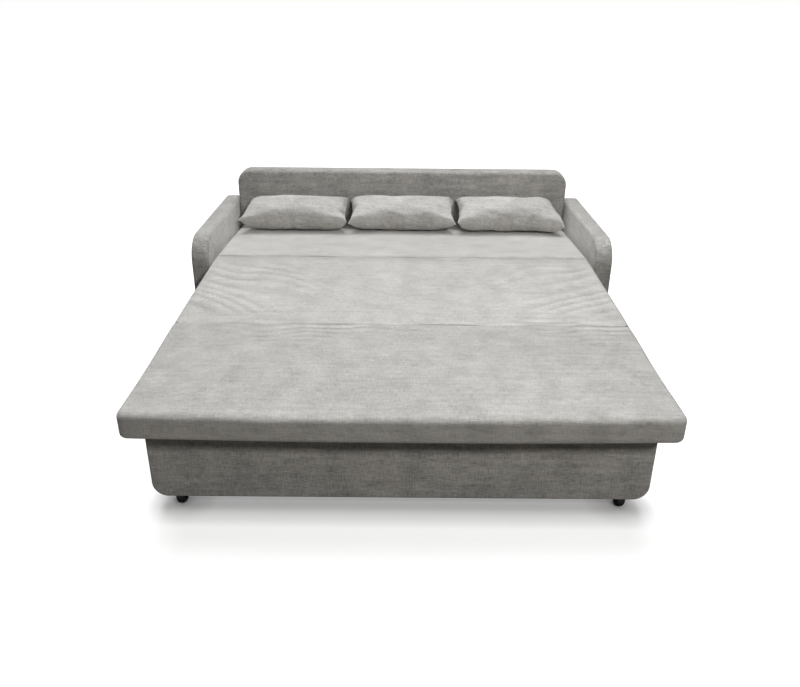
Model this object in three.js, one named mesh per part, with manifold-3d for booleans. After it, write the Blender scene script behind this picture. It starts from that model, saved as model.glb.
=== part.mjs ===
// A sleeper sofa shown as a bed: three upholstered sections fold like an accordion.
// Millimetres. +X is across the sofa, the front faces -Y, +Z is up, and the floor is z = 0.
// The frame's origin is on the floor, midway between the sides and between front and back.
import * as THREE from "three";
import { mergeVertices } from "three/addons/utils/BufferGeometryUtils.js";
import Module from "manifold-3d";

const wasm = await Module();
wasm.setup();

// Driving sizes of the bed surface
const mattressWidth = 1620;
const seatLength = 655; // front edge to the fold line
const headLength = 1245; // fold line to the face of the back panel
const seatTop = 435;
const cushionThickness = 85;
const humpAngle = THREE.MathUtils.degToRad(4); // the middle and rear sections rise to their seam
const seamPastApex = 20; // the seam lies behind the axis under it

// Driving sizes of the sofa's body
const armThickness = 79;
const armReach = 680; // arm front to the face of the back panel
const armTop = 568;
const armCornerRadius = 125;
const armRound = 14;
const backThickness = 92;
const backTop = 710;
const backCornerRadius = 68;
const backRound = 20;
const upholsteryPad = 20;
const bodyLift = 55; // floor to the underside of the upholstery

// Clearances
const fitGap = 0.3; // between two pieces that touch
const armGap = 6; // mattress side to arm
const seamGap = 1; // between two sections' cushions
const runningGap = 0.3; // round a pin in its hole
const overrun = 10; // how far a cutting solid runs past a face

// Fold axes
const pivotDepth = 5; // below the top of the cushions
const rearPivotGap = 18; // rear axis to the face of the back panel
const apexDrop = 15; // underside of the rails to the axis between middle and rear section
const plateThickness = 3.5;
const plateGap = 0.5;
const plateHeadRadius = 7;
const plateFootLength = 60;
const pinRadius = 3;
const rodRadius = 5;
const rodHeadRadius = 9;

// Section frames
const railWidth = 25;
const railHeight = 25;
const railInset = 12.3; // outer face of a rail to the cushion's side
const railEndGap = 12;
const railFrontInset = 56; // front rails' ends to the cushion's front corner
const slatWidth = 60;
const slatThickness = 15;
const slatPitch = 104;
const slatDrop = 6; // top of a rail to the top of the slats
const strapWidth = 40;
const strapThickness = 3;
const strapPlaceShare = 0.55; // of the half width

// Section cushions
const cushionCrown = 6;
const cushionSideRound = 24;
const cushionBottomRound = 12;
const cushionDrawIn = 3;
const seamDepth = 2.5;
const seamPitch = 4;
const seamRound = 9;
const frontCornerRadius = 28;
const seamCornerRadius = 12;
const frontBow = 14;
const notchDepth = 14;
const notchHalfLength = 9;
const rearCushionGap = 17; // rear axis to the end of the rear cushion

// Plinth under the front section
const frontOverhang = 145;
const fasciaWidth = 1570;
const fasciaThickness = 30;
const fasciaCornerRadius = 50;
const fasciaRound = 8;
const fasciaSkin = 12;
const plinthBoard = 18;
const castorRailHeight = 20;
const castorRailDepth = 52;
const plinthRearGap = 25; // fold line to the rear of the plinth

// Castors
const wheelRadius = 32;
const wheelWidth = 28;
const wheelRound = 6;
const wheelHubRadius = 13;
const wheelHubProud = 1;
const axleRadius = 4;
const castorInset = 76; // side of the fascia to the middle of a wheel
const forkPlateWidth = 60;
const forkPlateLength = 50;
const forkSheet = 3;
const forkGap = 1.5; // hub to cheek
const forkHeadRadius = 9;

// Feet and support legs
const footRadius = 20;
const footInset = 70;
const legRadius = 10;
const legInset = 50; // cushion's side to the middle of a leg
const crossTubeRadius = 8;
const crossTubeHeight = 150;

// Brackets on the back panel
const bracketInset = 66; // cushion's side to the bracket
const bracketThickness = 6;
const bracketFlangeWidth = 44;
const bracketFlangeThickness = 4;
const bracketFoot = 240;
const bracketFlangeHeight = 80;

// Loose back cushions
const looseWidth = 516;
const looseGap = 3;
const looseDepth = 250;
const looseThickness = 130;
const looseTilt = THREE.MathUtils.degToRad(24);
const looseDrawIn = 12;
const looseBackDrawShare = 0.1; // narrowing of the edge at the back panel
const looseRise = 87; // centre above the top of the front section
const loosePlumpShare = 0.5;

// Places that follow from the sizes above
const halfMattress = mattressWidth / 2;
const halfBetweenArms = halfMattress + armGap;
const totalDepth = seatLength + headLength + backThickness;
const frontY = -totalDepth / 2;
const foldY = frontY + seatLength;
const backFaceY = foldY + headLength;
const rearY = backFaceY + backThickness;
const armFrontY = backFaceY - armReach;
const pivotZ = seatTop - pivotDepth;
const rearPivotY = backFaceY - rearPivotGap;
const halfSpan = (rearPivotY - foldY) / 2;
const railTop = pivotDepth - cushionThickness - fitGap; // from the fold axis, square to the section
const railBottom = railTop - railHeight;
const apexOffset = apexDrop - railBottom;
const apexReach = (halfSpan - apexOffset * Math.sin(humpAngle)) / Math.cos(humpAngle);
const apexY = foldY + halfSpan;
const apexZ = pivotZ + apexReach * Math.sin(humpAngle) - apexOffset * Math.cos(humpAngle);
// Length of the middle and rear cushions at the height of their axes
const middleLength = (halfSpan + seamPastApex - seamGap / 2) / Math.cos(humpAngle);
const rearLength = (halfSpan - seamPastApex - seamGap / 2) / Math.cos(humpAngle);
const slatTop = railTop - slatDrop;
const fasciaY = frontY + frontOverhang;
const plinthFrontY = fasciaY + fasciaThickness + fitGap;
const plinthRearY = foldY - plinthRearGap;
const castorRailBottom = bodyLift + railHeight - forkSheet;

// Materials
const paint = (name, color, roughness, metalness) =>
  new THREE.MeshStandardMaterial({ name, color, roughness, metalness });
const chenille = paint("chenille", 0xb9b5ae, 0.95, 0);
const looseCloth = paint("loose_cloth", 0xc2beb8, 0.95, 0);
const timber = paint("timber", 0xb08d63, 0.7, 0);
const steel = paint("steel", 0x3a3b3d, 0.45, 0.8);
const pinSteel = paint("pin_steel", 0x9a9c9f, 0.35, 0.9);
const blackPlastic = paint("black_plastic", 0x17181a, 0.5, 0);
const webbing = paint("webbing", 0x8a7558, 0.8, 0);

const sofa = new THREE.Group();

// Joins and cuts closed bodies.
function solid(geometry) {
  const bare = geometry.index ? geometry.toNonIndexed() : geometry.clone();
  bare.deleteAttribute("normal");
  bare.deleteAttribute("uv");
  const merged = mergeVertices(bare, 1e-4);
  return new wasm.Manifold(
    new wasm.Mesh({
      numProp: 3,
      vertProperties: merged.attributes.position.array,
      triVerts: new Uint32Array(merged.index.array),
    }),
  );
}

function geometryOf(body) {
  const made = body.getMesh();
  const geometry = new THREE.BufferGeometry();
  geometry.setAttribute("position", new THREE.BufferAttribute(made.vertProperties, 3));
  geometry.setIndex(new THREE.BufferAttribute(made.triVerts, 1));
  geometry.computeVertexNormals();
  return geometry;
}

const joined = (...parts) => geometryOf(parts.map(solid).reduce((all, part) => all.add(part)));
const cut = (base, ...tools) =>
  geometryOf(tools.map(solid).reduce((body, tool) => body.subtract(tool), solid(base)));

function place(name, geometry, material, parent = sofa) {
  const mesh = new THREE.Mesh(geometry, material);
  mesh.name = name;
  parent.add(mesh);
  return mesh;
}

// A box between two corners, each given as [x, y, z].
function block(low, high) {
  const size = high.map((value, axis) => value - low[axis]);
  const middle = high.map((value, axis) => (value + low[axis]) / 2);
  return new THREE.BoxGeometry(...size).translate(...middle);
}

// A round bar along X between two x values, at the height and depth given.
function barAcross(radius, low, high, y, z, sides = 24) {
  return new THREE.CylinderGeometry(radius, radius, high - low, sides)
    .rotateZ(Math.PI / 2)
    .translate((low + high) / 2, y, z);
}

// An outline in the YZ plane, pushed along X from x = low to x = high with rounded rims.
function slabAcross(shape, low, high, round = 0) {
  const geometry = new THREE.ExtrudeGeometry(shape, extrusion(high - low, round));
  const turn = new THREE.Matrix4().makeBasis(
    new THREE.Vector3(0, 1, 0),
    new THREE.Vector3(0, 0, 1),
    new THREE.Vector3(1, 0, 0),
  );
  return geometry.applyMatrix4(turn).translate(low + round, 0, 0);
}

// An outline in the XZ plane, pushed along Y from y = low to y = high with rounded rims.
function slabDeep(shape, low, high, round = 0) {
  const geometry = new THREE.ExtrudeGeometry(shape, extrusion(high - low, round));
  return geometry.rotateX(Math.PI / 2).translate(0, high - round, 0);
}

function extrusion(length, round) {
  return {
    depth: length - 2 * round,
    bevelEnabled: round > 0,
    bevelSize: round,
    bevelThickness: round,
    bevelOffset: -round,
    bevelSegments: 3,
    curveSegments: 8,
  };
}

// A rectangle whose four corner radii are given, bottom left first and then round anticlockwise.
function roundedRectangle(low, high, [r0, r1, r2, r3]) {
  const shape = new THREE.Shape();
  shape.moveTo(low[0] + r0, low[1]);
  shape.lineTo(high[0] - r1, low[1]);
  if (r1 > 0) shape.absarc(high[0] - r1, low[1] + r1, r1, -Math.PI / 2, 0);
  shape.lineTo(high[0], high[1] - r2);
  if (r2 > 0) shape.absarc(high[0] - r2, high[1] - r2, r2, 0, Math.PI / 2);
  shape.lineTo(low[0] + r3, high[1]);
  if (r3 > 0) shape.absarc(low[0] + r3, high[1] - r3, r3, Math.PI / 2, Math.PI);
  shape.lineTo(low[0], low[1] + r0);
  if (r0 > 0) shape.absarc(low[0] + r0, low[1] + r0, r0, Math.PI, Math.PI * 1.5);
  return shape;
}

// Closes a stack of equal rings into a body: a fan, the walls, a fan. Rings run anticlockwise
// from above and the stack starts at the bottom.
function bodyOfRings(bottom, rings, top) {
  const count = rings[0].length;
  const points = [bottom, ...rings.flat(), top];
  const faces = [];
  const at = (ring, k) => 1 + ring * count + (k % count);
  for (let k = 0; k < count; k += 1) {
    faces.push([0, at(0, k + 1), at(0, k)]);
    faces.push([points.length - 1, at(rings.length - 1, k), at(rings.length - 1, k + 1)]);
    for (let ring = 0; ring + 1 < rings.length; ring += 1) {
      faces.push([at(ring, k), at(ring, k + 1), at(ring + 1, k + 1)]);
      faces.push([at(ring, k), at(ring + 1, k + 1), at(ring + 1, k)]);
    }
  }
  return bodyOfFaces(points, faces);
}

function bodyOfFaces(points, faces) {
  const geometry = new THREE.BufferGeometry();
  geometry.setAttribute("position", new THREE.Float32BufferAttribute(points.flat(), 3));
  geometry.setIndex(faces.flat());
  geometry.computeVertexNormals();
  return geometry;
}

// The plan outline of a section's cushion, anticlockwise, as [x, y] points.
function cushionOutline(half, near, far, nearCorner, farCorner) {
  const arcSteps = 3;
  const corners = [
    [half - nearCorner, near + nearCorner, nearCorner, -Math.PI / 2, 3],
    [half - farCorner, far - farCorner, farCorner, 0, 8],
    [farCorner - half, far - farCorner, farCorner, Math.PI / 2, 3],
    [nearCorner - half, near + nearCorner, nearCorner, Math.PI, 8],
  ];
  const arcs = corners.map(([x, y, radius, start]) =>
    Array.from({ length: arcSteps + 1 }, (_, k) => {
      const angle = start + ((Math.PI / 2) * k) / arcSteps;
      return [x + radius * Math.cos(angle), y + radius * Math.sin(angle)];
    }),
  );
  return corners.flatMap(([, , , , steps], k) => {
    const from = arcs[k][arcSteps];
    const to = arcs[(k + 1) % corners.length][0];
    const run = Array.from({ length: steps - 1 }, (_, j) => {
      const share = (j + 1) / steps;
      return [from[0] + (to[0] - from[0]) * share, from[1] + (to[1] - from[1]) * share];
    });
    return [...arcs[k], ...run];
  });
}

// A section's cushion in the section's own frame: x across, y away from the fold axis, z square to
// the section with the axis at zero. Its crown swells inwards from the rim, its sides draw in at
// half height, and its far end leans so that it stands plumb beside its neighbour.
function sectionCushion({ near, far, farRound, nearCorner, farCorner, lean, bow }) {
  const top = pivotDepth;
  const bottom = pivotDepth - cushionThickness;
  const ring = (inset, z, scale = 1) => {
    const nearInset = (inset * seamRound) / cushionSideRound;
    const farInset = (inset * farRound) / cushionSideRound;
    const lowY = near + nearInset;
    const highY = far - farInset;
    const outline = cushionOutline(
      halfMattress - inset,
      lowY,
      highY,
      Math.max(nearCorner - nearInset, seamGap),
      Math.max(farCorner - farInset, seamGap),
    );
    const middle = (lowY + highY) / 2;
    return outline.map(([x, y]) => {
      const along = middle + (y - middle) * scale;
      const reach = along / far;
      const bowed = bow * (1 - (x / halfMattress) ** 2) * reach ** 4;
      return [x * scale, along + bowed + lean * reach * z, z];
    });
  };
  const quarter = (steps) => Array.from({ length: steps + 1 }, (_, k) => (Math.PI / 2) * (k / steps));
  const lower = quarter(2).map((angle) =>
    ring(
      cushionBottomRound * (1 - Math.sin(angle)),
      bottom + cushionBottomRound * (1 - Math.cos(angle)),
    ),
  );
  const waist = ring(cushionDrawIn, (top + bottom) / 2);
  const seamTop = top - cushionSideRound - seamPitch;
  const seam = [ring(0, seamTop - 2 * seamPitch), ring(seamDepth, seamTop - seamPitch), ring(0, seamTop)];
  const upper = quarter(3).map((angle) =>
    ring(
      cushionSideRound * (1 - Math.cos(angle)),
      top - cushionSideRound * (1 - Math.sin(angle)),
    ),
  );
  const crownShares = [0.8, 0.55, 0.3];
  const crown = crownShares.map((share) =>
    ring(cushionSideRound, top + cushionCrown * (1 - share ** 2), share),
  );
  const middle = (near + far) / 2;
  return bodyOfRings(
    [0, middle, bottom],
    [...lower, waist, ...seam, ...upper, ...crown],
    [0, middle, top + cushionCrown],
  );
}

// Cuts the side notches that the fold plates stand in.
function notched(cushion) {
  const notch = (sign) => {
    const inner = halfMattress - notchDepth;
    const outer = halfMattress + overrun;
    const low = [Math.min(sign * inner, sign * outer), -overrun, -cushionThickness - overrun];
    const high = [Math.max(sign * inner, sign * outer), notchHalfLength, pivotDepth + overrun];
    return block(low, high);
  };
  return cut(cushion, notch(-1), notch(1));
}

// Slats tied by two straps, as one mat between the rails.
function slatDeck(near, far, railFace) {
  const half = railFace - fitGap;
  const room = far - near - slatWidth;
  const count = Math.floor(room / slatPitch) + 1;
  const first = near + (room - (count - 1) * slatPitch) / 2;
  const slats = Array.from({ length: count }, (_, k) => {
    const y = first + k * slatPitch;
    return block([-half, y, slatTop - slatThickness], [half, y + slatWidth, slatTop]);
  });
  const last = first + (count - 1) * slatPitch + slatWidth;
  const straps = [-1, 1].map((sign) => {
    const x = sign * half * strapPlaceShare;
    const low = [x - strapWidth / 2, first, slatTop - strapThickness / 2];
    const high = [x + strapWidth / 2, last, slatTop + strapThickness / 2];
    return block(low, high);
  });
  return joined(...slats, ...straps);
}

// A flat steel plate: its foot lies along the end of a rail and its round head is on the axis.
function headedPlate(radius, hole) {
  const shape = new THREE.Shape();
  const foot = railTop - fitGap;
  shape.moveTo(-radius, railBottom);
  shape.lineTo(plateFootLength, railBottom);
  shape.lineTo(plateFootLength, foot);
  shape.lineTo(radius, foot);
  shape.lineTo(radius, 0);
  shape.absarc(0, 0, radius, 0, Math.PI);
  const bore = new THREE.Path();
  bore.absarc(0, 0, hole, 0, Math.PI * 2, true);
  shape.holes.push(bore);
  return shape;
}

// A plate that hangs below the rail's end with its round head at the apex axis.
function apexPlate() {
  const shape = new THREE.Shape();
  const [y, z] = [apexReach, -apexOffset];
  shape.moveTo(y - plateFootLength, railBottom);
  shape.lineTo(y - rodHeadRadius, z);
  shape.absarc(y, z, rodHeadRadius, Math.PI, Math.PI * 2);
  shape.lineTo(y - railEndGap / 2, railBottom);
  shape.lineTo(y - railEndGap / 2, railTop - fitGap);
  shape.lineTo(y - plateFootLength, railTop - fitGap);
  const bore = new THREE.Path();
  bore.absarc(y, z, rodRadius + runningGap, 0, Math.PI * 2, true);
  shape.holes.push(bore);
  return shape;
}

const sides = [
  ["left", -1],
  ["right", 1],
];

// A span of x values on one side, low first.
const span = (sign, inner, outer) =>
  sign > 0 ? [inner, outer] : [-outer, -inner];

// turned is -1 for a section whose own frame is turned half round, so that left stays left.
function sectionFrame(group, name, { near, far, railOuter, turned }) {
  const railInner = railOuter - railWidth;
  for (const [side, sign] of sides) {
    const [low, high] = span(turned * sign, railInner, railOuter);
    place(`${name}_rail_${side}`, block([low, near, railBottom], [high, far, railTop]), steel, group);
  }
  place(`${name}_slat_deck`, slatDeck(near, far, railInner), webbing, group);
}

// The groups that carry the sections stand at the fold axes.
const frontSection = new THREE.Group();
frontSection.position.set(0, foldY, pivotZ);
frontSection.rotation.set(0, 0, Math.PI);
const middleSection = new THREE.Group();
middleSection.position.set(0, foldY, pivotZ);
middleSection.rotation.set(humpAngle, 0, 0);
const rearSection = new THREE.Group();
rearSection.position.set(0, rearPivotY, pivotZ);
rearSection.rotation.set(humpAngle, 0, Math.PI, "ZYX");
sofa.add(frontSection, middleSection, rearSection);

const innerRail = halfMattress - railInset;
const outerRail = innerRail + plateThickness + plateGap;
const lean = Math.tan(humpAngle);
const sectionRailEnd = apexReach - railEndGap;

function makeFrontSection() {
  const length = seatLength - frontBow;
  const cushion = sectionCushion({
    near: seamGap / 2,
    far: length,
    farRound: cushionSideRound,
    nearCorner: seamCornerRadius,
    farCorner: frontCornerRadius,
    lean: 0,
    bow: frontBow,
  });
  place("seat_cushion", notched(cushion), chenille, frontSection);
  sectionFrame(frontSection, "seat", {
    near: railEndGap,
    far: length - railFrontInset,
    railOuter: innerRail,
    turned: -1,
  });
  const plate = headedPlate(plateHeadRadius, pinRadius + runningGap);
  for (const [side, sign] of sides) {
    const [low, high] = span(-sign, innerRail + fitGap, innerRail + plateThickness);
    place(`seat_fold_plate_${side}`, slabAcross(plate, low, high), steel, frontSection);
    const pin = span(-sign, innerRail - fitGap, outerRail + plateThickness + 2 * plateGap);
    place(`fold_pin_${side}`, barAcross(pinRadius, ...pin, 0, 0, 16), pinSteel, frontSection);
  }
}

function makeMiddleSection() {
  const cushion = sectionCushion({
    near: seamGap / 2,
    far: middleLength,
    farRound: seamRound,
    nearCorner: seamCornerRadius,
    farCorner: seamCornerRadius,
    lean,
    bow: 0,
  });
  place("middle_cushion", notched(cushion), chenille, middleSection);
  sectionFrame(middleSection, "middle", {
    near: railEndGap,
    far: sectionRailEnd,
    railOuter: outerRail,
    turned: 1,
  });
  const fold = headedPlate(plateHeadRadius, pinRadius + runningGap);
  for (const [side, sign] of sides) {
    const [low, high] = span(sign, outerRail + fitGap, outerRail + plateThickness);
    place(`middle_fold_plate_${side}`, slabAcross(fold, low, high), steel, middleSection);
    place(`middle_apex_plate_${side}`, slabAcross(apexPlate(), low, high), steel, middleSection);
  }
  const rodHalf = outerRail + plateThickness + plateGap;
  const rod = barAcross(rodRadius, -rodHalf, rodHalf, apexReach, -apexOffset);
  place("apex_rod", rod, pinSteel, middleSection);
}

function makeRearSection() {
  const cushion = sectionCushion({
    near: rearCushionGap,
    far: rearLength,
    farRound: seamRound,
    nearCorner: seamCornerRadius,
    farCorner: seamCornerRadius,
    lean,
    bow: 0,
  });
  place("rear_cushion", cushion, chenille, rearSection);
  sectionFrame(rearSection, "rear", {
    near: railEndGap,
    far: sectionRailEnd,
    railOuter: innerRail,
    turned: -1,
  });
  const lug = headedPlate(rodHeadRadius, rodRadius + runningGap);
  for (const [side, sign] of sides) {
    const [low, high] = span(-sign, innerRail + fitGap, innerRail + plateThickness);
    place(`rear_lug_${side}`, slabAcross(lug, low, high), steel, rearSection);
    place(`rear_apex_plate_${side}`, slabAcross(apexPlate(), low, high), steel, rearSection);
  }
  const rodHalf = innerRail + plateThickness + plateGap;
  place("back_hinge_rod", barAcross(rodRadius, -rodHalf, rodHalf, 0, 0), pinSteel, rearSection);
}

// The side view of an arm, or of the board and the pocket inside it.
function armOutline(inset, bottom) {
  return roundedRectangle(
    [armFrontY + inset, bottom],
    [rearY - inset, armTop - inset],
    [0, 0, armRound, armCornerRadius - inset],
  );
}

function makeArms() {
  for (const [side, sign] of sides) {
    const [low, high] = span(sign, halfBetweenArms, halfBetweenArms + armThickness);
    const [boardLow, boardHigh] = [low + upholsteryPad, high - upholsteryPad];
    const cover = slabAcross(armOutline(0, bodyLift), low, high, armRound - fitGap);
    const pocketOutline = armOutline(upholsteryPad - fitGap, bodyLift - overrun);
    const pocket = slabAcross(pocketOutline, boardLow - fitGap, boardHigh + fitGap);
    place(`arm_cover_${side}`, cut(cover, pocket), chenille);
    const board = slabAcross(armOutline(upholsteryPad, bodyLift), boardLow, boardHigh);
    place(`arm_board_${side}`, board, timber);
    const footX = (low + high) / 2;
    for (const [end, y] of [
      ["front", armFrontY + footInset],
      ["rear", rearY - footInset],
    ]) {
      const height = bodyLift - fitGap;
      const foot = new THREE.CylinderGeometry(footRadius, footRadius, height, 24);
      foot.rotateX(Math.PI / 2).translate(footX, y, height / 2);
      place(`foot_${end}_${side}`, foot, blackPlastic);
    }
  }
}

// The front view of the back panel, or of the board and the pocket inside it.
function backOutline(inset, bottom) {
  const half = halfBetweenArms - fitGap - inset;
  const radius = backCornerRadius - inset;
  return roundedRectangle([-half, bottom], [half, backTop - inset], [0, 0, radius, radius]);
}

function makeBack() {
  const cover = slabDeep(backOutline(0, bodyLift), backFaceY, rearY, backRound);
  const boardY = [backFaceY + upholsteryPad, rearY - upholsteryPad];
  const pocket = slabDeep(
    backOutline(upholsteryPad - fitGap, bodyLift - overrun),
    boardY[0] - fitGap,
    boardY[1] + fitGap,
  );
  place("back_cover", cut(cover, pocket), chenille);
  place("back_board", slabDeep(backOutline(upholsteryPad, bodyLift), ...boardY), timber);
  for (const [side, sign] of sides) {
    const inner = halfMattress - bracketInset - bracketThickness;
    const [low, high] = span(sign, inner, inner + bracketThickness);
    const face = backFaceY - fitGap;
    const middle = (low + high) / 2;
    const flange = block(
      [middle - bracketFlangeWidth / 2, face - bracketFlangeThickness, bracketFoot],
      [middle + bracketFlangeWidth / 2, face, bracketFoot + bracketFlangeHeight],
    );
    const web = block(
      [low, rearPivotY - rodHeadRadius, bracketFoot],
      [high, face, pivotZ],
    );
    const head = barAcross(rodHeadRadius, low, high, rearPivotY, pivotZ);
    const bore = barAcross(rodRadius + runningGap, low - overrun, high + overrun, rearPivotY, pivotZ);
    const bracket = cut(joined(flange, web, head), bore);
    place(`back_bracket_${side}`, bracket, steel);
  }
}

// A board in its padded cover across the front of the plinth.
function makeFascia() {
  const top = pivotZ + railBottom - fitGap;
  const half = fasciaWidth / 2;
  const outline = (inset) =>
    roundedRectangle(
      [inset - half, bodyLift + inset],
      [half - inset, top - inset],
      [fasciaCornerRadius - inset, fasciaCornerRadius - inset, 0, 0],
    );
  const rear = fasciaY + fasciaThickness;
  const cover = slabDeep(outline(0), fasciaY, rear, fasciaRound);
  const pocket = slabDeep(outline(fasciaSkin - fitGap), fasciaY + fasciaSkin - fitGap, rear + overrun);
  place("fascia_cover", cut(cover, pocket), chenille);
  place("fascia_board", slabDeep(outline(fasciaSkin), fasciaY + fasciaSkin, rear), timber);
}

function makePlinth() {
  makeFascia();
  const outer = fasciaWidth / 2;
  const railZ = [castorRailBottom, castorRailBottom + castorRailHeight];
  for (const [end, y] of [
    ["front", plinthFrontY],
    ["rear", plinthRearY - castorRailDepth],
  ]) {
    const bar = block([-outer, y, railZ[0]], [outer, y + castorRailDepth, railZ[1]]);
    place(`castor_rail_${end}`, bar, timber);
  }
  for (const [side, sign] of sides) {
    const [low, high] = span(sign, outer - plinthBoard, outer);
    const top = pivotZ + railBottom - fitGap;
    const board = block([low, plinthFrontY, railZ[1] + fitGap], [high, plinthRearY, top]);
    place(`plinth_side_${side}`, board, timber);
  }
}

// The wheel's half section turned round its axle.
function wheel() {
  const half = wheelWidth / 2;
  const bore = axleRadius + runningGap;
  const profile = [
    [bore, -half - wheelHubProud],
    [wheelHubRadius, -half - wheelHubProud],
    [wheelHubRadius, -half],
    [wheelRadius - wheelRound, -half],
    [wheelRadius, wheelRound - half],
    [wheelRadius, half - wheelRound],
    [wheelRadius - wheelRound, half],
    [wheelHubRadius, half],
    [wheelHubRadius, half + wheelHubProud],
    [bore, half + wheelHubProud],
    [bore, -half - wheelHubProud],
  ];
  const points = profile.map(([r, y]) => new THREE.Vector2(r, y));
  return new THREE.LatheGeometry(points, 32).rotateZ(Math.PI / 2);
}

// A bent steel fork with its riveted axle.
function fork() {
  const top = castorRailBottom - fitGap - wheelRadius; // from the axle up
  const plate = block(
    [-forkPlateWidth / 2, -forkPlateLength / 2, top - forkSheet],
    [forkPlateWidth / 2, forkPlateLength / 2, top],
  );
  const inner = wheelWidth / 2 + wheelHubProud + forkGap;
  const cheeks = [-1, 1].flatMap((sign) => {
    const [low, high] = span(sign, inner, inner + forkSheet);
    return [
      block([low, -forkHeadRadius, 0], [high, forkHeadRadius, top]),
      barAcross(forkHeadRadius, low, high, 0, 0),
    ];
  });
  const axle = barAcross(axleRadius, -inner - forkSheet, inner + forkSheet, 0, 0, 24);
  return joined(plate, ...cheeks, axle);
}

function makeCastors() {
  const x = fasciaWidth / 2 - castorInset;
  for (const [end, y] of [
    ["front", plinthFrontY + castorRailDepth / 2],
    ["rear", plinthRearY - castorRailDepth / 2],
  ]) {
    for (const [side, sign] of sides) {
      place(`castor_fork_${end}_${side}`, fork(), steel).position.set(sign * x, y, wheelRadius);
      place(`castor_wheel_${end}_${side}`, wheel(), blackPlastic).position.set(sign * x, y, wheelRadius);
    }
  }
}

function makeSupportLegs() {
  const x = halfMattress - legInset;
  const top = apexZ + rodHeadRadius;
  for (const [side, sign] of sides) {
    const tube = new THREE.CylinderGeometry(legRadius, legRadius, top, 20).rotateX(Math.PI / 2);
    tube.translate(sign * x, apexY, top / 2);
    const reach = legRadius + overrun;
    const bore = barAcross(rodRadius + runningGap, sign * x - reach, sign * x + reach, apexY, apexZ);
    place(`support_leg_${side}`, cut(tube, bore), steel);
  }
  const half = x - legRadius - fitGap;
  place("leg_cross_tube", barAcross(crossTubeRadius, -half, half, apexY, crossTubeHeight, 16), steel);
}

// A knife-edged cushion in its own frame, flat, as a grid of points on both faces that share the
// rim. Its sides draw in between pinched corners and its faces swell towards the middle.
function looseCushion() {
  const [columns, rows] = [16, 10];
  const point = (i, j, face) => {
    const u = (2 * i) / columns - 1;
    const v = (2 * j) / rows - 1;
    const narrow = 1 - (looseBackDrawShare / 2) * (1 + v);
    const x = (looseWidth / 2 - looseDrawIn * (1 - v ** 2)) * u * narrow;
    const y = (looseDepth / 2 - looseDrawIn * (1 - u ** 2)) * v;
    const swell = Math.cos((Math.PI * u) / 2) * Math.cos((Math.PI * v) / 2);
    return [x, y, (face * looseThickness * Math.max(swell, 0) ** loosePlumpShare) / 2];
  };
  const across = columns + 1;
  const points = [];
  const lower = [];
  for (let j = 0; j <= rows; j += 1) {
    for (let i = 0; i <= columns; i += 1) points.push(point(i, j, 1));
  }
  const top = (i, j) => j * across + i;
  const isRim = (i, j) => i === 0 || j === 0 || i === columns || j === rows;
  for (let j = 0; j <= rows; j += 1) {
    for (let i = 0; i <= columns; i += 1) {
      if (isRim(i, j)) lower.push(top(i, j));
      else lower.push(points.push(point(i, j, -1)) - 1);
    }
  }
  const faces = [];
  for (let j = 0; j < rows; j += 1) {
    for (let i = 0; i < columns; i += 1) {
      const [a, b, c, d] = [top(i, j), top(i + 1, j), top(i + 1, j + 1), top(i, j + 1)];
      const flip = i < columns / 2 === j < rows / 2; // diagonals run to the corners
      if (flip) faces.push([a, b, c], [a, c, d]);
      else faces.push([a, b, d], [b, c, d]);
      const [e, f, g, h] = [a, b, c, d].map((k) => lower[k]);
      if (flip) faces.push([e, g, f], [e, h, g]);
      else faces.push([e, h, f], [f, h, g]);
    }
  }
  return bodyOfFaces(points, faces);
}

function makeLooseCushions() {
  const names = ["left", "middle", "right"];
  const pitch = looseWidth + looseGap;
  names.forEach((name, k) => {
    const cushion = place(`back_cushion_${name}`, looseCushion(), looseCloth);
    cushion.rotation.x = looseTilt;
    const halfDeep = new THREE.Box3().setFromObject(cushion, true).max.y;
    cushion.position.set((k - 1) * pitch, backFaceY - fitGap - halfDeep, seatTop + looseRise);
  });
}

makeFrontSection();
makeMiddleSection();
makeRearSection();
makeArms();
makeBack();
makePlinth();
makeCastors();
makeSupportLegs();
makeLooseCushions();

export default sofa;
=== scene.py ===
import math

import bpy
import numpy as np
from mathutils import Matrix, Vector


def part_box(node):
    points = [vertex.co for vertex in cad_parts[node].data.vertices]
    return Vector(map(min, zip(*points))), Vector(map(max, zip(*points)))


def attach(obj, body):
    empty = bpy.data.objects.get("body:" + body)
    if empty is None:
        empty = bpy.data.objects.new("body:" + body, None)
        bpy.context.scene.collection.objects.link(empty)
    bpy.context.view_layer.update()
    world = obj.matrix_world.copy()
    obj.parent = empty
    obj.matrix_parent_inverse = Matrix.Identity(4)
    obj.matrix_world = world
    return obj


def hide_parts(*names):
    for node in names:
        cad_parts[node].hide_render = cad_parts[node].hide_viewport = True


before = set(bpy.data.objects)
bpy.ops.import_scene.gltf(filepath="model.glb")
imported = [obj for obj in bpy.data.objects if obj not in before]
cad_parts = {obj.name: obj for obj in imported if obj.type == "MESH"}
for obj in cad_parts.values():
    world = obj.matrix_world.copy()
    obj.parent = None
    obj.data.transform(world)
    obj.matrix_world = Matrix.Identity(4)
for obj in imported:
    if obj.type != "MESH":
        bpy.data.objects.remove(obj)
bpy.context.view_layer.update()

scene = bpy.context.scene

# The bed's three sections. Each is a slab of firm foam wrapped in a light warm-grey chenille that
# is pulled tight over soft edges and stapled to the frame underneath. The cover wears no piping. It
# creases where the sections meet, and fans of tension wrinkles run in from the middle one's ends.


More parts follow.
